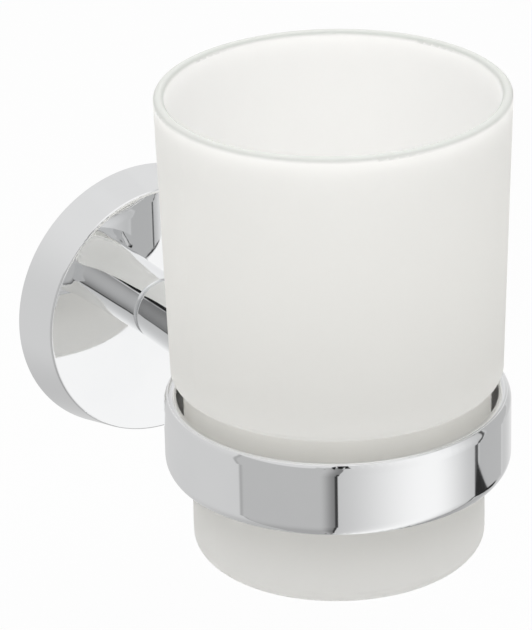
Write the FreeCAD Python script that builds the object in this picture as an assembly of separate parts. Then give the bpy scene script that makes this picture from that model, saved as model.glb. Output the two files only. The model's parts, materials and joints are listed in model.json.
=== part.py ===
import FreeCAD
import Part
import math
import os

# Wall-mounted holder with a frosted glass tumbler, in millimetres.
# The wall is the plane Y = 0, the holder stands out along -Y and +Z is up.
# The origin is the centre of the rosette on the wall.

# Rosette: the round cover with a tapered rim that hides the wall bracket
ROSETTE_BACK_DIAMETER = 55.0
ROSETTE_FRONT_DIAMETER = 51.0
ROSETTE_DEPTH = 9.0
ROSETTE_WALL = 2.2
ROSETTE_FACE = 2.5
ROSETTE_EDGE_ROUND = 0.6
ROSETTE_INNER_CHAMFER = 1.0

# Arm and ring: one casting
REACH = 71.0  # from the wall to the axis of the tumbler
ARM_DIAMETER = 12.6  # where it meets the rosette
ARM_NECK_DIAMETER = 13.8  # where it starts to spread into the ring
ARM_END_ROUND = 0.8
NECK_FILLET = 12.0  # where the arm spreads sideways into the ring
NECK_FLATTEN = 0.8  # how much lower the neck is than the arm where it meets the ring
NECK_SECTIONS = 6
RING_HEIGHT = 14.0
RING_WALL = 1.2
RING_EDGE_ROLL = 3.0  # radius of the rolled outer edges
RING_ROLL_ANGLE = 35.0
RING_LIP = 1.4  # thickness of the inward lip that carries the collar

# Tumbler: a tapered body, a stepped shoulder and a narrower waist that goes through the ring
TUMBLER_HEIGHT = 90.0
TUMBLER_BODY_HEIGHT = 53.8  # from the shoulder to the rim
TUMBLER_WAIST_DIAMETER = 54.5
TUMBLER_WALL = 2.3
TUMBLER_RIM_WALL = 2.0
TUMBLER_BASE = 6.0
SHOULDER_STEP = 3.45  # the body stands out past the waist by this much
SHOULDER_ROUND = 1.4
SHOULDER_FILLET = 1.0
SHOULDER_SLOPE = 15.0  # of its underside, from level
SHOULDER_RISE = 5.2  # the shoulder starts this far above the ring
RIM_FLARE = 1.5  # the rim stands out past the shoulder by this much
INNER_ROUND = 3.0  # inside the shoulder, where the body turns in
INNER_TURN = 60.0  # steepest slope of the step inside
INNER_RISE = 0.5  # from the top of the waist to where its inside starts to widen
HEEL_ROUND = 3.0
FLOOR_ROUND = 5.0
PUNT = 0.8  # hollow under the base
STANDING_RING = 3.0  # width of the flat ring that the tumbler stands on

# Collar: the plastic sleeve in the ring that carries the shoulder
COLLAR_CLEARANCE = 0.5
COLLAR_WALL = 0.7
COLLAR_FLANGE = 1.2
COLLAR_FLANGE_CLEARANCE = 0.2
COLLAR_TO_RING = 2.5  # gap between the sleeve and the inside of the ring
SEAT_CLEARANCE = 0.3  # measured straight up, from the collar to the shoulder
LIP_SETBACK = 0.3

# Stud, lock washer and nut: they hold the arm on the rosette
STUD_DIAMETER = 6.0
STUD_GRIP = 12.0  # length inside the arm
STUD_TAIL = 1.0  # from the wall to the end of the stud
STUD_CHAMFER = 0.6
STUD_HOLE_SPARE = 1.5
THREAD_CLEARANCE = 0.05
STUD_PASSAGE = 0.2  # radial room in the rosette and the washer
WASHER_DIAMETER = 11.2
WASHER_THICKNESS = 1.6
WASHER_SPLIT = 1.0
WASHER_SPLIT_ANGLE = 20.0
NUT_ACROSS_FLATS = 10.0
NUT_HEIGHT = 3.2
NUT_CHAMFER = 0.5
HEX_SIDES = 6

# Key: a nib on the arm's end that stops it turning on the rosette
KEY_DIAMETER = 1.6
KEY_OFFSET = 4.6
KEY_LENGTH = 1.8
KEY_CLEARANCE = 0.1

# Wall bracket: a dovetail disc screwed to the wall inside the rosette
BRACKET_THICKNESS = 5.0
BRACKET_RIM_GAP = 2.1  # from its front rim to the inside of the rosette
BRACKET_BEVEL_ANGLE = 31.0
BRACKET_NUT_ROOM = 3.5
SCREW_SPACING = 28.0
SCREW_HOLE_DIAMETER = 5.0
SCREW_HEAD_DIAMETER = 9.0

# Hook inside the top of the rosette, and the grub screw at its underside
HOOK_ANGLE = 60.0
HOOK_SETBACK = 0.4
HOOK_DEPTH = 2.4
HOOK_CLEARANCE = 0.25
FUSE_OVERLAP = 0.6
GRUB_DIAMETER = 4.0
GRUB_LENGTH = 5.0
GRUB_TIP_DIAMETER = 2.0
GRUB_POINT = 1.0
GRUB_DEPTH = 3.2  # from the wall to its axis
GRUB_CLEARANCE = 0.1
GRUB_SOCKET = 2.0
GRUB_SOCKET_DEPTH = 2.0
GRUB_BOSS_DIAMETER = 6.2
GRUB_BOSS_GAP = 0.8

# Worked out from the sizes above
back_r = ROSETTE_BACK_DIAMETER / 2
front_r = ROSETTE_FRONT_DIAMETER / 2
rim_slope = (back_r - front_r) / ROSETTE_DEPTH
rim_angle = math.degrees(math.atan(rim_slope))
face_back = ROSETTE_DEPTH - ROSETTE_FACE
arm_r = ARM_DIAMETER / 2
neck_r = ARM_NECK_DIAMETER / 2
stud_r = STUD_DIAMETER / 2
thread_r = stud_r + THREAD_CLEARANCE
passage_r = stud_r + STUD_PASSAGE
waist_r = TUMBLER_WAIST_DIAMETER / 2
shoulder_r = waist_r + SHOULDER_STEP
rim_r = shoulder_r + RIM_FLARE
collar_bore_r = waist_r + COLLAR_CLEARANCE
collar_r = collar_bore_r + COLLAR_WALL
ring_bore_r = collar_r + COLLAR_TO_RING
ring_r = ring_bore_r + RING_WALL
lip_r = collar_bore_r + LIP_SETBACK
ring_top = RING_HEIGHT / 2
lip_top = RING_LIP - ring_top
shoulder_z = ring_top + SHOULDER_RISE
rim_z = shoulder_z + TUMBLER_BODY_HEIGHT
base_z = rim_z - TUMBLER_HEIGHT
floor_z = base_z + TUMBLER_BASE
shoulder_turn = 90 - SHOULDER_SLOPE
turn_in = 1 - math.cos(math.radians(shoulder_turn))
turn_down = math.sin(math.radians(shoulder_turn))
underside_width = SHOULDER_STEP - (SHOULDER_ROUND + SHOULDER_FILLET) * turn_in
underside_slope = math.tan(math.radians(SHOULDER_SLOPE))
underside_low = shoulder_z - SHOULDER_ROUND * turn_down - underside_width * underside_slope
waist_top = underside_low - SHOULDER_FILLET * turn_down
bracket_slope = math.tan(math.radians(BRACKET_BEVEL_ANGLE))

ARM_AXIS = FreeCAD.Vector(0, -1, 0)
UP = FreeCAD.Vector(0, 0, 1)
ORIGIN = FreeCAD.Vector(0, 0, 0)
TUMBLER_FOOT = FreeCAD.Vector(0, -REACH, 0)


def beside_tumbler(radius, height):
    """A point at a radius from the tumbler's axis and a height."""
    return FreeCAD.Vector(radius, -REACH, height)


def beside_arm(radius, depth):
    """A point above the arm's axis, at a distance from the wall."""
    return FreeCAD.Vector(0, -depth, radius)


class Outline:
    """A closed outline in a half plane beside an axis, drawn with lines and arcs."""

    def __init__(self, place, start):
        self.place = place
        self.start = start
        self.at = start
        self.edges = []

    def line(self, *points):
        for point in points:
            self.edges.append(Part.makeLine(self.place(*self.at), self.place(*point)))
            self.at = point

    def arc(self, centre, radius, first, last):
        """An arc about a centre, from one angle to another, which starts where the outline is."""

        def on_arc(angle):
            turn = math.radians(angle)
            return (centre[0] + radius * math.cos(turn), centre[1] + radius * math.sin(turn))

        middle, end = on_arc((first + last) / 2), on_arc(last)
        self.arc_through(middle, end)

    def arc_through(self, middle, end):
        points = [self.place(*point) for point in (self.at, middle, end)]
        self.edges.append(Part.Arc(*points).toShape())
        self.at = end

    def revolve(self, base, axis, angle=360):
        self.line(self.start)
        face = Part.Face(Part.Wire(self.edges))
        face.rotate(base, axis, -angle / 2)
        return face.revolve(base, axis, angle)


def rosette_inside(depth):
    """Radius of the rosette's inner wall at a distance from the wall."""
    return back_r - ROSETTE_WALL - rim_slope * depth


bracket_front_r = rosette_inside(BRACKET_THICKNESS) - BRACKET_RIM_GAP
bracket_back_r = bracket_front_r - BRACKET_THICKNESS * bracket_slope


def bracket_edge(depth):
    """Radius of the bracket's dovetail edge at a distance from the wall."""
    return bracket_back_r + bracket_slope * depth


grub_tip = bracket_edge(GRUB_DEPTH + GRUB_TIP_DIAMETER / 2) + GRUB_CLEARANCE


def shoulder_height(radius):
    """Height of the shoulder's underside over a radius near the waist."""
    out = radius - waist_r
    past_fillet = out - SHOULDER_FILLET * turn_in
    if past_fillet < 0:
        return waist_top + math.sqrt(SHOULDER_FILLET**2 - (SHOULDER_FILLET - out) ** 2)
    return underside_low + past_fillet * underside_slope


def rod(radius, base, axis, length):
    return Part.makeCylinder(radius, length, base, axis)


def hex_prism(across_flats, base, axis, length):
    """A hexagonal prism along an axis that is square to X."""
    corner_r = across_flats / math.sqrt(3)
    across = FreeCAD.Vector(1, 0, 0)
    other = axis.cross(across)
    turns = [math.tau * side / HEX_SIDES for side in range(HEX_SIDES)]
    corners = [base + across * corner_r * math.cos(t) + other * corner_r * math.sin(t) for t in turns]
    return Part.Face(Part.makePolygon(corners + corners[:1])).extrude(axis * length)


def make_tumbler():
    lip = TUMBLER_RIM_WALL / 2
    inner_turn = math.radians(INNER_TURN)
    inner_radii = SHOULDER_STEP / (1 - math.cos(inner_turn))
    inner_fillet = inner_radii - INNER_ROUND
    inner_low = waist_top + INNER_RISE
    inner_high = inner_low + inner_radii * math.sin(inner_turn)
    body_inside = shoulder_r - TUMBLER_WALL
    waist_inside = waist_r - TUMBLER_WALL
    stand_r = waist_r - HEEL_ROUND - STANDING_RING
    glass = Outline(beside_tumbler, (0, base_z + PUNT))
    glass.arc_through((stand_r / 2, base_z + PUNT * 3 / 4), (stand_r, base_z))
    glass.line((waist_r - HEEL_ROUND, base_z))
    glass.arc((waist_r - HEEL_ROUND, base_z + HEEL_ROUND), HEEL_ROUND, -90, 0)
    glass.line((waist_r, waist_top))
    glass.arc((waist_r + SHOULDER_FILLET, waist_top), SHOULDER_FILLET, 180, 180 - shoulder_turn)
    glass.line((shoulder_r - SHOULDER_ROUND * turn_in, shoulder_z - SHOULDER_ROUND * turn_down))
    glass.arc((shoulder_r - SHOULDER_ROUND, shoulder_z), SHOULDER_ROUND, -shoulder_turn, 0)
    glass.line((rim_r, rim_z - lip))
    glass.arc((rim_r - lip, rim_z - lip), lip, 0, 180)
    glass.line((body_inside, inner_high))
    glass.arc((body_inside - INNER_ROUND, inner_high), INNER_ROUND, 0, -INNER_TURN)
    glass.arc((waist_inside + inner_fillet, inner_low), inner_fillet, 180 - INNER_TURN, 180)
    glass.line((waist_inside, floor_z + FLOOR_ROUND))
    glass.arc((waist_inside - FLOOR_ROUND, floor_z + FLOOR_ROUND), FLOOR_ROUND, 0, -90)
    glass.line((0, floor_z))
    return glass.revolve(TUMBLER_FOOT, UP)


def make_collar():
    flange_r = ring_bore_r - COLLAR_FLANGE_CLEARANCE
    flange_top = lip_top + COLLAR_FLANGE
    collar = Outline(beside_tumbler, (collar_bore_r, lip_top))
    collar.line((flange_r, lip_top), (flange_r, flange_top), (collar_r, flange_top))
    collar.line((collar_r, shoulder_height(collar_r) - SEAT_CLEARANCE))
    collar.line((collar_bore_r, shoulder_height(collar_bore_r) - SEAT_CLEARANCE))
    return collar.revolve(TUMBLER_FOOT, UP)


def make_band():
    """The ring itself: a thin band with rolled edges and an inward lip at its lower edge."""
    turn = math.radians(RING_ROLL_ANGLE)
    roll_end_r = ring_r - RING_EDGE_ROLL * (1 - math.cos(turn))
    cap = (roll_end_r - ring_bore_r) / (1 + math.cos(turn))
    cap_r = roll_end_r - cap * math.cos(turn)
    cap_z = ring_top - cap
    roll_z = cap_z + (cap - RING_EDGE_ROLL) * math.sin(turn)
    roll_r = ring_r - RING_EDGE_ROLL
    band = Outline(beside_tumbler, (lip_r, -ring_top))
    band.line((cap_r, -ring_top))
    band.arc((cap_r, -cap_z), cap, -90, -RING_ROLL_ANGLE)
    band.arc((roll_r, -roll_z), RING_EDGE_ROLL, -RING_ROLL_ANGLE, 0)
    band.line((ring_r, roll_z))
    band.arc((roll_r, roll_z), RING_EDGE_ROLL, 0, RING_ROLL_ANGLE)
    band.arc((cap_r, cap_z), cap, RING_ROLL_ANGLE, 180)
    band.line((ring_bore_r, lip_top), (lip_r, lip_top))
    return band.revolve(TUMBLER_FOOT, UP)


def make_neck():
    """The end of the arm, which spreads sideways in a fillet that meets the band."""
    centre_r = ring_r + NECK_FILLET
    centre_x = neck_r + NECK_FILLET
    centre_y = math.sqrt(centre_r**2 - centre_x**2) - REACH
    full_turn = math.acos(centre_x / centre_r)
    sections = []
    for step in range(NECK_SECTIONS):
        turn = full_turn * step / (NECK_SECTIONS - 1)
        half_width = neck_r + NECK_FILLET * (1 - math.cos(turn))
        lower = NECK_FLATTEN * (1 - math.cos(turn)) / (1 - math.cos(full_turn))
        oval = Part.Ellipse(ORIGIN, half_width, neck_r - lower).toShape()
        oval.rotate(ORIGIN, FreeCAD.Vector(1, 0, 0), 90)
        oval.translate(FreeCAD.Vector(0, centre_y - NECK_FILLET * math.sin(turn), 0))
        sections.append(Part.Wire(oval))
    inside = rod(ring_bore_r, beside_tumbler(0, -RING_HEIGHT), UP, 2 * RING_HEIGHT)
    return Part.makeLoft(sections, True, False).cut(inside), -centre_y


def make_ring_arm():
    neck, neck_depth = make_neck()
    arm = Outline(beside_arm, (0, ROSETTE_DEPTH))
    arm.line((arm_r - ARM_END_ROUND, ROSETTE_DEPTH))
    arm.arc((arm_r - ARM_END_ROUND, ROSETTE_DEPTH + ARM_END_ROUND), ARM_END_ROUND, -90, 0)
    arm.line((neck_r, neck_depth), (0, neck_depth))
    casting = arm.revolve(ORIGIN, ARM_AXIS).fuse([neck, make_band()])
    hole = Outline(beside_arm, (0, ROSETTE_DEPTH - FUSE_OVERLAP))
    hole_end = ROSETTE_DEPTH + STUD_GRIP + STUD_HOLE_SPARE
    hole.line((thread_r, ROSETTE_DEPTH - FUSE_OVERLAP), (thread_r, hole_end), (0, hole_end + thread_r / 2))
    casting = casting.cut(hole.revolve(ORIGIN, ARM_AXIS))
    key_base = beside_arm(-KEY_OFFSET, ROSETTE_DEPTH - KEY_LENGTH)
    key = rod(KEY_DIAMETER / 2, key_base, ARM_AXIS, KEY_LENGTH + FUSE_OVERLAP)
    return casting.fuse(key).removeSplitter()


def make_rosette():
    corner = math.radians(90 + rim_angle) / 2
    tangent = ROSETTE_EDGE_ROUND / math.tan(corner)
    chamfer_depth = face_back - ROSETTE_INNER_CHAMFER
    cover = Outline(beside_arm, (passage_r, face_back))
    cover.line((rosette_inside(face_back) - ROSETTE_INNER_CHAMFER, face_back))
    cover.line((rosette_inside(chamfer_depth), chamfer_depth))
    cover.line((rosette_inside(0), 0), (back_r, 0))
    edge_r = front_r + tangent * math.sin(math.radians(rim_angle))
    cover.line((edge_r, ROSETTE_DEPTH - tangent * math.cos(math.radians(rim_angle))))
    edge_centre = (front_r - tangent, ROSETTE_DEPTH - ROSETTE_EDGE_ROUND)
    cover.arc(edge_centre, ROSETTE_EDGE_ROUND, rim_angle, 90)
    cover.line((passage_r, ROSETTE_DEPTH))
    shell = cover.revolve(ORIGIN, ARM_AXIS).fuse([make_hook(), make_grub_boss()])
    grub_hole = rod(GRUB_DIAMETER / 2 + THREAD_CLEARANCE, beside_arm(-grub_tip, GRUB_DEPTH), -UP, back_r)
    key_base = beside_arm(-KEY_OFFSET, face_back - FUSE_OVERLAP)
    key_hole = rod(KEY_DIAMETER / 2 + KEY_CLEARANCE, key_base, ARM_AXIS, ROSETTE_FACE + 2 * FUSE_OVERLAP)
    return shell.cut([grub_hole, key_hole]).removeSplitter()


def make_hook():
    """An inward lip at the top that reaches behind the bracket's dovetail edge."""
    near, far = HOOK_SETBACK, HOOK_SETBACK + HOOK_DEPTH
    hook = Outline(beside_arm, (bracket_edge(near) + HOOK_CLEARANCE, near))
    hook.line((rosette_inside(near) + FUSE_OVERLAP, near), (rosette_inside(far) + FUSE_OVERLAP, far))
    hook.line((bracket_edge(far) + HOOK_CLEARANCE, far))
    return hook.revolve(ORIGIN, ARM_AXIS, HOOK_ANGLE)


def make_grub_boss():
    """A pad inside the bottom of the rosette that gives the grub screw its thread."""
    inner_end = bracket_front_r + GRUB_BOSS_GAP
    outer_end = rosette_inside(GRUB_DEPTH) + FUSE_OVERLAP
    return rod(GRUB_BOSS_DIAMETER / 2, beside_arm(-inner_end, GRUB_DEPTH), -UP, outer_end - inner_end)


def make_bracket():
    room_r = NUT_ACROSS_FLATS / math.sqrt(3) + BRACKET_NUT_ROOM
    plate = Outline(beside_arm, (room_r, 0))
    plate.line((bracket_back_r, 0), (bracket_front_r, BRACKET_THICKNESS), (room_r, BRACKET_THICKNESS))
    bracket = plate.revolve(ORIGIN, ARM_AXIS)
    hole_r = SCREW_HOLE_DIAMETER / 2
    head_r = SCREW_HEAD_DIAMETER / 2
    sink = head_r - hole_r
    for side in (-1, 1):
        on_wall = FreeCAD.Vector(side * SCREW_SPACING / 2, 0, 0)
        sink_base = on_wall + ARM_AXIS * (BRACKET_THICKNESS - sink)
        bracket = bracket.cut(rod(hole_r, on_wall, ARM_AXIS, BRACKET_THICKNESS))
        bracket = bracket.cut(Part.makeCone(hole_r, head_r, sink, sink_base, ARM_AXIS))
    return bracket


def make_stud():
    end = ROSETTE_DEPTH + STUD_GRIP
    stud = Outline(beside_arm, (0, STUD_TAIL))
    stud.line((stud_r - STUD_CHAMFER, STUD_TAIL), (stud_r, STUD_TAIL + STUD_CHAMFER))
    stud.line((stud_r, end - STUD_CHAMFER), (stud_r - STUD_CHAMFER, end), (0, end))
    return stud.revolve(ORIGIN, ARM_AXIS)


def make_washer():
    """A split spring washer between the nut and the inside of the rosette."""
    back = face_back - WASHER_THICKNESS
    ring = rod(WASHER_DIAMETER / 2, beside_arm(0, back), ARM_AXIS, WASHER_THICKNESS)
    ring = ring.cut(rod(passage_r, beside_arm(0, back), ARM_AXIS, WASHER_THICKNESS))
    corner = FreeCAD.Vector(0, -face_back - WASHER_THICKNESS, -WASHER_SPLIT / 2)
    split = Part.makeBox(WASHER_DIAMETER, 3 * WASHER_THICKNESS, WASHER_SPLIT, corner)
    middle = beside_arm(0, back + WASHER_THICKNESS / 2)
    split.rotate(middle, FreeCAD.Vector(1, 0, 0), WASHER_SPLIT_ANGLE)
    return ring.cut(split)


def make_nut():
    front = face_back - WASHER_THICKNESS
    back = front - NUT_HEIGHT
    flat_r = NUT_ACROSS_FLATS / 2
    outside_r = flat_r + 2 * NUT_CHAMFER
    turned = Outline(beside_arm, (thread_r, back))
    turned.line((flat_r, back), (outside_r, back + NUT_CHAMFER))
    turned.line((outside_r, front - NUT_CHAMFER), (flat_r, front), (thread_r, front))
    blank = hex_prism(NUT_ACROSS_FLATS, beside_arm(0, back), ARM_AXIS, NUT_HEIGHT)
    return blank.common(turned.revolve(ORIGIN, ARM_AXIS))


def make_grub_screw():
    screw_r = GRUB_DIAMETER / 2
    tip = beside_arm(-grub_tip, GRUB_DEPTH)
    point = Part.makeCone(GRUB_TIP_DIAMETER / 2, screw_r, GRUB_POINT, tip, -UP)
    shank = rod(screw_r, tip - UP * GRUB_POINT, -UP, GRUB_LENGTH - GRUB_POINT)
    socket = hex_prism(GRUB_SOCKET, tip - UP * GRUB_LENGTH, UP, GRUB_SOCKET_DEPTH)
    return point.fuse(shank).removeSplitter().cut(socket)


pieces = {
    "tumbler": make_tumbler(),
    "seat_collar": make_collar(),
    "holder_ring": make_ring_arm(),
    "rosette": make_rosette(),
    "wall_bracket": make_bracket(),
    "arm_stud": make_stud(),
    "lock_washer": make_washer(),
    "stud_nut": make_nut(),
    "grub_screw": make_grub_screw(),
}

os.makedirs("parts", exist_ok=True)
for node, shape in pieces.items():
    shape.exportStep(f"parts/{node}.step")
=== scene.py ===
from collections import namedtuple
import json
import math

import bmesh
import bpy
from mathutils import Matrix, Vector


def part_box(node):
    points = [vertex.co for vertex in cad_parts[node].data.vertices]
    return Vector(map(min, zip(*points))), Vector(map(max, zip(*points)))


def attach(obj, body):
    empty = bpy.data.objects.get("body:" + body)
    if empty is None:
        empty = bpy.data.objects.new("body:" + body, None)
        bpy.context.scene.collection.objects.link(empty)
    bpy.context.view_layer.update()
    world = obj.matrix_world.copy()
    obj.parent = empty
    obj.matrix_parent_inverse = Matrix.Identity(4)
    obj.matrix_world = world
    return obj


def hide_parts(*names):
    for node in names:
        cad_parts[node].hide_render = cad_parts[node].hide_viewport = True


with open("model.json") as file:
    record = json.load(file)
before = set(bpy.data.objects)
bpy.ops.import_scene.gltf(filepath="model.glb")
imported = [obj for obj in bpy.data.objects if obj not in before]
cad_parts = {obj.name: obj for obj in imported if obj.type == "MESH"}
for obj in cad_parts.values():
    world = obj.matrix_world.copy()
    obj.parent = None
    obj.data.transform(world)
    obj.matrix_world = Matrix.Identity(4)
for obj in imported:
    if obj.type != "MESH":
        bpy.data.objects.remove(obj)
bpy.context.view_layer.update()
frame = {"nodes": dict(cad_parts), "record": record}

MM = 0.001
RING_CENTRE = Vector((0, -71 * MM, 0))
ACROSS = Vector((1, 0, 0))
OUT_OF_WALL = Vector((0, -1, 0))
UP = Vector((0, 0, 1))
WHITE = (1, 1, 1)


# Finishes are written as sums of shader values

class Value:
    """A shader socket that takes part in Python sums; each operator adds one Math node."""

    def __init__(self, finish, socket):
        self.finish = finish
        self.socket = socket

    def maths(self, operation, *terms):
        return self.finish.add("Math", {"operation": operation}, dict(enumerate(terms)))

    def __add__(self, other):
        return self.maths("ADD", self, other)

    __radd__ = __add__

    def __sub__(self, other):
        return self.maths("SUBTRACT", self, other)

    def __rsub__(self, other):
        return self.maths("SUBTRACT", other, self)

    def __mul__(self, other):
        return self.maths("MULTIPLY", self, other)

    __rmul__ = __mul__

    def between(self, low, high):
        """0 below low, 1 above high, with a soft step from one to the other."""
        return self.finish.add(
            "MapRange",
            {"interpolation_type": "SMOOTHSTEP"},
            {"Value": self, "From Min": low, "From Max": high},
        )


class Finish:
    """The node tree of a material or of the room, while it is written."""

    def __init__(self, owner):
        self.owner = owner
        owner.use_nodes = True
        self.tree = owner.node_tree
        self.tree.nodes.clear()

    @staticmethod
    def find(sockets, key):
        if isinstance(key, int):
            return sockets[key]
        for socket in sockets:
            if socket.identifier == key:
                return socket
        return sockets[key]

    def add(self, kind, settings, sockets, out=0):
        """Makes one node: its settings first, then the values or links of its sockets."""
        node = self.tree.nodes.new("ShaderNode" + kind)
        for name, setting in settings.items():
            setattr(node, name, setting)
        for key, value in sockets.items():
            socket = self.find(node.inputs, key)
            if isinstance(value, Value):
                self.tree.links.new(value.socket, socket)
            elif socket.type == "RGBA":
                socket.default_value = (*value, 1)
            else:
                socket.default_value = value
        return Value(self, self.find(node.outputs, out)) if node.outputs else None

    def show(self, shader, output="OutputMaterial"):
        self.add(output, {}, {"Surface": shader})
        return self.owner

    def place(self):
        return self.add("TexCoord", {}, {}, "Object")

    def vectors(self, operation, first, second=(0, 0, 0), out="Vector"):
        return self.add("VectorMath", {"operation": operation}, {0: first, 1: second}, out)

    def dot(self, first, second):
        return self.vectors("DOT_PRODUCT", first, second, "Value")

    def stretched(self, factors):
        return self.vectors("MULTIPLY", self.place(), factors)

    def cloud(self, scale, detail, where=None):
        where = where or self.place()
        return self.add("TexNoise", {}, {"Vector": where, "Scale": scale, "Detail": detail})

    def tint(self, mask, first, second):
        return self.add(
            "Mix",
            {"data_type": "RGBA"},
            {"Factor_Float": mask, "A_Color": first, "B_Color": second},
            "Result_Color",
        )

    def dents(self, height, depth, strength):
        return self.add("Bump", {}, {"Height": height, "Distance": depth, "Strength": strength})

    def blend(self, share, first, second):
        """A mix of two shaders, with this share of the second."""
        return self.add("MixShader", {}, {"Fac": share, 1: first, 2: second})


def new_finish(name):
    return Finish(bpy.data.materials.new(name))


# The frosted glass, with heights above the ring's centre

RIM_SPAN = (64.0 * MM, 65.3 * MM)
LOW_SHADE_SPAN = (8.0 * MM, 52.0 * MM)
CLOUD_SHIFT = 6 * MM
RIM_FACING = (-0.2, 0.7)
INSIDE_FACING = (-0.7, -0.1)
MILK = (0.82, 0.817, 0.802)
# Painted shade: the duller tone towards the bottom of the glass
LOW_SHADED_MILK = (0.74, 0.737, 0.723)
# Painted light: the paler tone of the inside faces
LIT_INSIDE_MILK = (0.98, 0.976, 0.968)
# Painted shade: the grey on top of the rim
SHADED_RIM_MILK = (0.44, 0.45, 0.43)
GLASS_SCATTER = (0.938, 0.936, 0.925)
GLASS_GRAIN_DEPTH = 0.02 * MM


def frosted_glass_finish():
    """Acid-frosted glass: a very fine satin grain, and most light passes through scattered.

    Painted light makes its inside paler, and painted shade makes it duller towards the bottom and greys
    the top of its rim."""
    finish = new_finish("frosted_glass")
    clouds = finish.cloud(scale=45.0, detail=3.0)
    grain = finish.cloud(scale=7000.0, detail=1.0)
    surface = finish.dents(grain, GLASS_GRAIN_DEPTH, strength=0.35)
    facing = finish.add("TexCoord", {}, {}, "Normal")
    upward = finish.dot(facing, UP)
    rise = finish.dot(finish.place(), UP)
    from_axis = finish.vectors("SUBTRACT", finish.place(), RING_CENTRE)
    outward = finish.vectors("NORMALIZE", finish.vectors("MULTIPLY", from_axis, (1, 1, 0)))
    # Painted light: the inside faces are paler, for the light that falls into the glass
    inside = 1 - finish.dot(facing, outward).between(*INSIDE_FACING)
    # Painted shade: the upward faces of the rim are greyed, against the glow of the lamp above
    rim = rise.between(*RIM_SPAN) * upward.between(*RIM_FACING)
    # Painted shade: darker towards the bottom, with a cloudy edge, where less light reaches down
    low_shade = 1 - (rise + CLOUD_SHIFT * clouds).between(*LOW_SHADE_SPAN)
    milk_and_painted_light = finish.tint(low_shade, MILK, LOW_SHADED_MILK)
    milk_and_painted_light = finish.tint(inside, milk_and_painted_light, LIT_INSIDE_MILK)
    milk_and_painted_light = finish.tint(rim, milk_and_painted_light, SHADED_RIM_MILK)
    satin = finish.add(
        "BsdfPrincipled",
        {},
        {
            "Base Color": milk_and_painted_light,
            "Roughness": 0.5 + 0.1 * clouds + 0.06 * grain,
            "IOR": 1.5,
            "Specular IOR Level": 0.35,
            "Normal": surface,
        },
    )
    scattered = finish.add("BsdfTranslucent", {}, {"Color": GLASS_SCATTER, "Normal": surface})
    # Less light passes through where the painted light and shade are laid
    passed = 0.78 - 0.07 * low_shade - 0.17 * inside - 0.6 * rim
    return finish.show(finish.blend(passed, satin, scattered))


# The chrome, the collar's plastic and the zinc-plated steel

CHROME = (0.9, 0.905, 0.91)
SMEARED_CHROME = (0.87, 0.877, 0.885)
CHROME_WAVE_DEPTH = 0.02 * MM
HAIRLINE_STRETCH = (240.0, 240.0, 2600.0)
PLASTIC = (0.9, 0.898, 0.885)
PALE_PLASTIC = (0.94, 0.938, 0.925)
PLASTIC_SCATTER = (0.99, 0.988, 0.98)
PLASTIC_PASSED = 0.88
PLASTIC_GRAIN_DEPTH = 0.01 * MM
FLOW_STRETCH = (60.0, 60.0, 320.0)
BRACKET_ZINC = (0.66, 0.66, 0.65)
DULL_BRACKET_ZINC = (0.52, 0.52, 0.53)
BRACKET_BRUSH = (2600.0, 2600.0, 90.0)
FASTENER_ZINC = (0.62, 0.62, 0.62)
DULL_FASTENER_ZINC = (0.47, 0.47, 0.49)
FASTENER_BRUSH = (700.0, 3400.0, 700.0)
BRUSH_DEPTH = 0.02 * MM


def chrome_finish():
    """Polished chrome plate with faint smears and the slight waviness of a cast, buffed part."""
    finish = new_finish("chrome_plate")
    smears = finish.cloud(scale=38.0, detail=4.0).between(0.45, 0.75)
    hairlines = finish.cloud(scale=1.0, detail=2.0, where=finish.stretched(HAIRLINE_STRETCH))
    waves = finish.cloud(scale=70.0, detail=1.0)
    shader = finish.add(
        "BsdfPrincipled",
        {},
        {
            "Base Color": finish.tint(smears, CHROME, SMEARED_CHROME),
            "Metallic": 1.0,
            "Roughness": 0.018 + 0.03 * smears + 0.012 * hairlines,
            "Normal": finish.dents(waves, CHROME_WAVE_DEPTH, strength=0.25),
        },
    )
    return finish.show(shader)


def collar_plastic_finish():
    """Translucent moulded plastic with flow marks, about as pale as the glass."""
    finish = new_finish("collar_plastic")
    flow = finish.cloud(scale=1.0, detail=2.0, where=finish.stretched(FLOW_STRETCH))
    grain = finish.cloud(scale=2600.0, detail=1.0)
    surface = finish.dents(grain, PLASTIC_GRAIN_DEPTH, strength=0.3)
    moulded = finish.add(
        "BsdfPrincipled",
        {},
        {
            "Base Color": finish.tint(flow.between(0.3, 0.7), PLASTIC, PALE_PLASTIC),
            "Roughness": 0.38 + 0.12 * flow,
            "IOR": 1.49,
            "Normal": surface,
        },
    )
    scattered = finish.add("BsdfTranslucent", {}, {"Color": PLASTIC_SCATTER, "Normal": surface})
    return finish.show(finish.blend(PLASTIC_PASSED, moulded, scattered))


def zinc_finish(name, pale, dull, brush):
    """Zinc-plated steel: soft sheen, brushed marks and cloudy plating."""
    finish = new_finish(name)
    plating = finish.cloud(scale=150.0, detail=4.0)
    marks = finish.cloud(scale=1.0, detail=2.0, where=finish.stretched(brush))
    mask = (0.6 * plating + 0.4 * marks).between(0.35, 0.65)
    shader = finish.add(
        "BsdfPrincipled",
        {},
        {
            "Base Color": finish.tint(mask, dull, pale),
            "Metallic": 1.0,
            "Roughness": 0.28 + 0.2 * mask + 0.06 * marks,
            "Normal": finish.dents(marks, BRUSH_DEPTH, strength=0.3),
        },
    )
    return finish.show(shader)


finishes = {
    "frosted_glass": frosted_glass_finish(),
    "chrome": chrome_finish(),
    "collar_plastic": collar_plastic_finish(),
    "bracket_steel": zinc_finish("bracket_steel", BRACKET_ZINC, DULL_BRACKET_ZINC, BRACKET_BRUSH),
    "fastener_steel": zinc_finish("fastener_steel", FASTENER_ZINC, DULL_FASTENER_ZINC, FASTENER_BRUSH),
}

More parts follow.
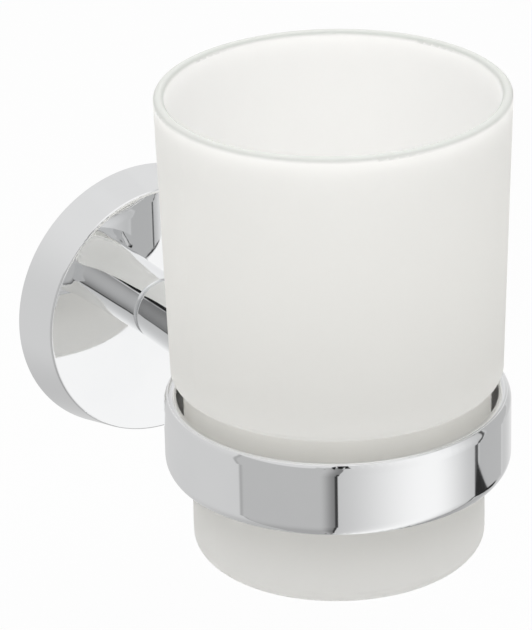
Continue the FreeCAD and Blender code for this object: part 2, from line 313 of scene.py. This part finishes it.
for subpart in frame["record"]["subparts"]:
    node = frame["nodes"][subpart["node"]]
    node.data.materials.clear()
    node.data.materials.append(finishes[subpart["material_slot"]])


# New pieces are meshes of corners and faces

def full_turn(steps):
    return [2 * math.pi * step / steps for step in range(steps)]


def band(first, second):
    """Faces between two closed loops of corners."""
    return [(first[i - 1], first[i], second[i], second[i - 1]) for i in range(len(first))]


def fan(loop, hub):
    """Faces from a closed loop of corners to one corner in its middle."""
    return [(loop[i - 1], loop[i], hub) for i in range(len(loop))]


def new_piece(name, corners, faces, material):
    mesh = bpy.data.meshes.new(name)
    mesh.from_pydata(corners, [], faces)
    mesh.materials.append(material)
    piece = bpy.data.objects.new(name, mesh)
    bpy.context.scene.collection.objects.link(piece)
    return piece


# The ring's top edge is rolled inwards to a rounded lip

LIP_STEPS = 256
LIP_SECTION = [
    (31.20, 6.10), (30.95, 5.70), (30.25, 5.81), (29.98, 5.92), (29.81, 6.12), (29.75, 6.38),
    (29.81, 6.64), (29.98, 6.84), (30.25, 6.95), (30.70, 6.99), (31.30, 7.00),
]


def roll_lip():
    """Turns the lip's section, in mm of radius and height, once round the ring's axis."""
    corners = []
    for angle in full_turn(LIP_STEPS):
        for r, z in LIP_SECTION:
            corners.append(RING_CENTRE + Vector((r * math.cos(angle), r * math.sin(angle), z)) * MM)
    count = len(LIP_SECTION)
    loops = [range(step * count, (step + 1) * count) for step in range(LIP_STEPS)]
    faces = []
    for step, loop in enumerate(loops):
        faces += band(loops[step - 1], loop)
    lip = new_piece("ring_lip", corners, faces, finishes["chrome"])
    lip.data.shade_smooth()
    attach(lip, "holder_body")


roll_lip()


# The stud and the grub screw get cut metric threads, inside their plain solids

THREAD_COLUMNS = 36
THREAD_DEPTH = 0.6134  # of the pitch
THREAD_PROFILE = [(0.0, 0.0), (0.25, 0.0), (0.5625, 1.0), (0.6875, 1.0)]  # shares of pitch and depth
THREAD_SHARP = math.radians(35)
ROD_END = 0.99  # of the root's radius
WELD_DISTANCE = 0.0001 * MM
STUD_PITCH = 1.0 * MM
GRUB_PITCH = 0.7 * MM
GRUB_TIP = 1.0 * MM
GRUB_SOCKET_DEPTH = 2.0 * MM
SOCKET_FLAT = 1.0 * MM  # from the axis to a flat of the hexagon


def hexagon(angle):
    """The distance from the axis to the socket's wall, with a corner at angle 0."""
    sixth = math.pi / 3
    return SOCKET_FLAT / math.cos(angle % sixth - sixth / 2)


def cut_thread(name, node, way, pitch, tip=None, socket_depths=()):
    """A threaded rod that stands for a node's plain rod; way points along it from its tip.

    Its corners follow the helix, and those past an end are drawn back to it and welded."""
    low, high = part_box(node)
    radius = (high.x - low.x) / 2
    length = abs(way.dot(high - low))
    start = (low + high) / 2 - way * length / 2
    root = radius - THREAD_DEPTH * pitch
    far = ROD_END * root
    tip = tip or far
    turns = math.ceil(length / pitch) + 2
    steps = [(turn + share, crest) for turn in range(turns) for share, crest in THREAD_PROFILE]
    count = len(steps)
    spin = full_turn(THREAD_COLUMNS)
    rays = [ACROSS * math.cos(angle) + way.cross(ACROSS) * math.sin(angle) for angle in spin]

    corners = []
    for column, ray in enumerate(rays):
        for share, crest in steps:
            along = (share - 1 + column / THREAD_COLUMNS) * pitch
            along = min(max(along, 0), length)
            reach = min(root + crest * (radius - root), tip + along, far + length - along)
            corners.append(start + way * along + ray * reach)

    faces = []
    for column in range(THREAD_COLUMNS):
        following = (column + 1) % THREAD_COLUMNS
        lead = 0 if following else len(THREAD_PROFILE)
        here = column * count
        there = following * count + lead
        for i in range(count - 1 - lead):
            faces.append((here + i, there + i, there + i + 1, here + i + 1))

    firsts = range(0, len(corners), count)
    edge = [first + count - 1 for first in firsts]
    faces += fan(firsts[::-1], len(corners))
    corners.append(start)
    centre = start + way * length
    for depth in socket_depths:
        centre = start + way * (length - depth)
        inner = range(len(corners), len(corners) + THREAD_COLUMNS)
        corners += [centre + ray * hexagon(angle) for angle, ray in zip(spin, rays)]
        faces += band(edge, inner)
        edge = inner
    faces += fan(edge, len(corners))
    corners.append(centre)

    rod = new_piece(name, corners, faces, finishes["fastener_steel"])
    shape = bmesh.new()
    shape.from_mesh(rod.data)
    bmesh.ops.remove_doubles(shape, verts=shape.verts, dist=WELD_DISTANCE)
    shape.to_mesh(rod.data)
    shape.free()
    rod.data.shade_smooth()
    rod.data.set_sharp_from_angle(angle=THREAD_SHARP)
    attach(rod, "holder_body")
    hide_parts(node)


cut_thread("threaded_stud", "arm_stud", OUT_OF_WALL, STUD_PITCH)
cut_thread("threaded_grub_screw", "grub_screw", -UP, GRUB_PITCH, GRUB_TIP, (0, GRUB_SOCKET_DEPTH))


# The camera's bearing and height, which the studio's cards are set out from

CAMERA_AZIMUTH = math.radians(-32.351)
CAMERA_ELEVATION = math.radians(24.633)
CAMERA_ROLL = math.radians(-1.303)
CAMERA_AIM = Vector((0.398 * MM, -46.377 * MM, 12.593 * MM))
CAMERA_DISTANCE = 743.17 * MM
CAMERA_SENSOR = 36.0
CAMERA_LENS = 224.70

to_camera = Vector((math.sin(CAMERA_AZIMUTH), -math.cos(CAMERA_AZIMUTH), 0))
level_right = Vector((math.cos(CAMERA_AZIMUTH), math.sin(CAMERA_AZIMUTH), 0))


# The studio's floor, a black card on it, and a broad lamp overhead, in metres

FLOOR_HEIGHT = -0.085
FLOOR_OUTLINE = [(-3, -3), (3, -3), (3, 3), (-3, 3)]
FLOOR_PAPER = (0.5, 0.5, 0.5)
FLOOR_GLOW_SHARE = 0.94
DARK_CARD_HEIGHT = FLOOR_HEIGHT + 0.5 * MM
DARK_CARD_OUTLINE = [
    (0.126, -0.138), (0.146, -0.156), (0.172, -0.156), (0.167, -0.118), (0.165, -0.075), (0.126, -0.075),
]
DARK_CARD_GLOW = 0.03
LAMP_SIDE = 1.2
LAMP_POWER = 16.0
LAMP_PLACE = (-0.1, -0.3, 1.1)


def floor_finish():
    """Paper that looks white to the camera, keeps a faint shadow, and is clear from below."""
    finish = new_finish("floor_paper")
    paper = finish.add("BsdfDiffuse", {}, {"Color": FLOOR_PAPER})
    glow = finish.add("Emission", {}, {"Color": WHITE, "Strength": 1.0})
    clear = finish.add("BsdfTransparent", {}, {})
    seen = finish.add("LightPath", {}, {}, "Is Camera Ray")
    below = finish.add("NewGeometry", {}, {}, "Backfacing")
    lit = finish.blend(FLOOR_GLOW_SHARE * seen, paper, glow)
    return finish.show(finish.blend(below, lit, clear))


def dark_card_finish():
    finish = new_finish("dark_card")
    return finish.show(finish.add("Emission", {}, {"Color": WHITE, "Strength": DARK_CARD_GLOW}))


def lay_sheet(name, outline, height, material):
    corners = [(x, y, height) for x, y in outline]
    sheet = new_piece(name, corners, [list(range(len(corners)))], material)
    return sheet


def lay_floor():
    floor = lay_sheet("floor", FLOOR_OUTLINE, FLOOR_HEIGHT, floor_finish())
    floor.visible_glossy = False


def lay_dark_card():
    """A black card on the floor, right of the ring, that only the chrome mirrors."""
    card = lay_sheet("dark_card", DARK_CARD_OUTLINE, DARK_CARD_HEIGHT, dark_card_finish())
    card.visible_camera = False
    card.visible_diffuse = False
    card.visible_shadow = False
    card.visible_transmission = False


def hang_lamp():
    lamp = bpy.data.lights.new("overhead_lamp", "AREA")
    lamp.shape = "SQUARE"
    lamp.size = LAMP_SIDE
    lamp.energy = LAMP_POWER
    overhead = bpy.data.objects.new("overhead_lamp", lamp)
    overhead.location = LAMP_PLACE
    overhead.visible_glossy = False
    bpy.context.scene.collection.objects.link(overhead)


# The room that the chrome mirrors, in degrees of bearing and height, with tones from black 0 to white 1

Card = namedtuple("Card", "start end soft tone")
ROOM_TONE = 0.66
ROOM_TOP_RISE = 0.12
ROOM_TOP_FADE = (0, 50)
WALL_CARD = Card(start=136, end=181, soft=6, tone=0.6)
WALL_RISE = 0.2
WALL_FADE = (140, 170)
GREY_CARD = Card(start=-70, end=40, soft=2, tone=0.52)
GREY_FALL = 0.3
GREY_FADE = (-14, -3)
GREY_EDGE = Card(start=-71, end=-66.5, soft=2.2, tone=0.42)
GREY_TOP = (24, 26)
RIGHT_CARD = Card(start=105, end=138, soft=2, tone=0.51)
LOW_SHARE = 0.78
LOW_FADE = (-62, -30)
PALE_TONE = 0.58
PALE_START = (-2, -1.4)
PALE_END = (100, 102)
PALE_TOP = (30, 44)
GLOW_RISE = 0.43
GLOW_START = (-10, 60)
GLOW_END = (64, 104)
GAP_TONE = 0.05
GAP_START = (-4.2, -3.2)
GAP_END = (-2.2, -1.4)
GAP_TOP = (-16, -12)
SLOT = Card(start=100.5, end=105.5, soft=1.5, tone=0.1)
OVERHEAD_TONE = 1.0
OVERHEAD_FADE = (58, 70)
FLAG = Card(start=-0.5, end=9, soft=1, tone=0.02)
FLAG_FOOT = (20.5, 22.5)
FLAG_TOP = (38, 42)
LEAN = 0.1  # bearing per height, for edges that lean to the right
LEAN_FOOT = -27
SOFT_TONE = 0.4
SOFT_RISE = 0.8
SOFT_FADE = (5, 75)
WALLWARD_SHARE = 0.9
WALLWARD_RISE = 0.3
WALLWARD_FADE = (-0.6, 0.9)
BEYOND_TONE = 1.22
BEYOND_SIDES = (0.1, 0.95)


def studio_room():
    """White to the camera, and a room of cards to the chrome.

    Other surfaces get a soft light from above, and light that passes through the glass is dim at the
    sides. Bearing 0 is towards the camera and turns to its right; height 0 is level."""
    world = bpy.data.worlds.new("studio_room")
    bpy.context.scene.world = world
    finish = Finish(world)
    look = finish.add("TexCoord", {}, {}, "Generated")
    ahead = finish.dot(look, to_camera)
    aside = finish.dot(look, level_right)
    rise = finish.dot(look, UP)
    wallward = finish.dot(look, -OUT_OF_WALL)
    bearing = ahead.maths("ARCTAN2", aside, ahead) * math.degrees(1)
    height = rise.maths("ARCSINE", rise) * math.degrees(1)
    leaning = bearing - LEAN * (height - LEAN_FOOT)

    def above(fade):
        return height.between(*fade)

    def under(fade):
        return 1 - height.between(*fade)

    def across(card):
        opened = bearing.between(card.start, card.start + card.soft)
        return opened * (1 - bearing.between(card.end - card.soft, card.end))

    def hang(room, mask, tone):
        return room + mask * (tone - room)

    room = ROOM_TONE + ROOM_TOP_RISE * above(ROOM_TOP_FADE)
    room = hang(room, across(WALL_CARD), WALL_CARD.tone + WALL_RISE * bearing.between(*WALL_FADE))
    grey = GREY_CARD.tone - GREY_FALL * leaning.between(*GREY_FADE)
    room = hang(room, across(GREY_CARD) * under(GREY_TOP), grey)
    room = hang(room, across(RIGHT_CARD), RIGHT_CARD.tone)
    room = hang(room, across(GREY_EDGE) * under(GREY_TOP), GREY_EDGE.tone)
    room = room * (LOW_SHARE + (1 - LOW_SHARE) * above(LOW_FADE))
    glow = bearing.between(*GLOW_START) * (1 - bearing.between(*GLOW_END))
    pale = leaning.between(*PALE_START) * (1 - bearing.between(*PALE_END))
    room = hang(room, pale * under(PALE_TOP), PALE_TONE + GLOW_RISE * glow)
    gap = leaning.between(*GAP_START) * (1 - leaning.between(*GAP_END))
    room = hang(room, gap * under(GAP_TOP), GAP_TONE)
    room = hang(room, across(SLOT), SLOT.tone)
    room = hang(room, above(OVERHEAD_FADE), OVERHEAD_TONE)
    room = hang(room, across(FLAG) * above(FLAG_FOOT) * under(FLAG_TOP), FLAG.tone)

    soft = SOFT_TONE + SOFT_RISE * above(SOFT_FADE)
    soft = soft * (WALLWARD_SHARE + WALLWARD_RISE * wallward.between(*WALLWARD_FADE))
    beyond = BEYOND_TONE - (aside * aside).between(*BEYOND_SIDES)

    seen = finish.add("LightPath", {}, {}, "Is Camera Ray")
    passed = finish.add("LightPath", {}, {}, "Is Transmission Ray")
    mirrored = finish.add("LightPath", {}, {}, "Is Glossy Ray")
    reflected = mirrored * room + (1 - mirrored) * soft
    level = seen + (1 - seen) * (passed * beyond + (1 - passed) * reflected)
    finish.show(finish.add("Background", {}, {"Color": WHITE, "Strength": level}), "OutputWorld")


lay_floor()
lay_dark_card()
hang_lamp()
studio_room()


# The camera, at the photograph's viewing angle

lens = bpy.data.cameras.new("camera")
lens.sensor_fit = "AUTO"
lens.sensor_width = CAMERA_SENSOR
lens.lens = CAMERA_LENS
camera = bpy.data.objects.new("camera", lens)
bpy.context.scene.collection.objects.link(camera)
back = to_camera * math.cos(CAMERA_ELEVATION) + UP * math.sin(CAMERA_ELEVATION)
level_up = back.cross(level_right)
right = level_right * math.cos(CAMERA_ROLL) + level_up * math.sin(CAMERA_ROLL)
up = back.cross(right)
turn = Matrix((right, up, back)).transposed()
camera.matrix_world = Matrix.LocRotScale(CAMERA_AIM + back * CAMERA_DISTANCE, turn, None)
bpy.context.scene.camera = camera
bpy.context.scene.view_settings.view_transform = "Standard"
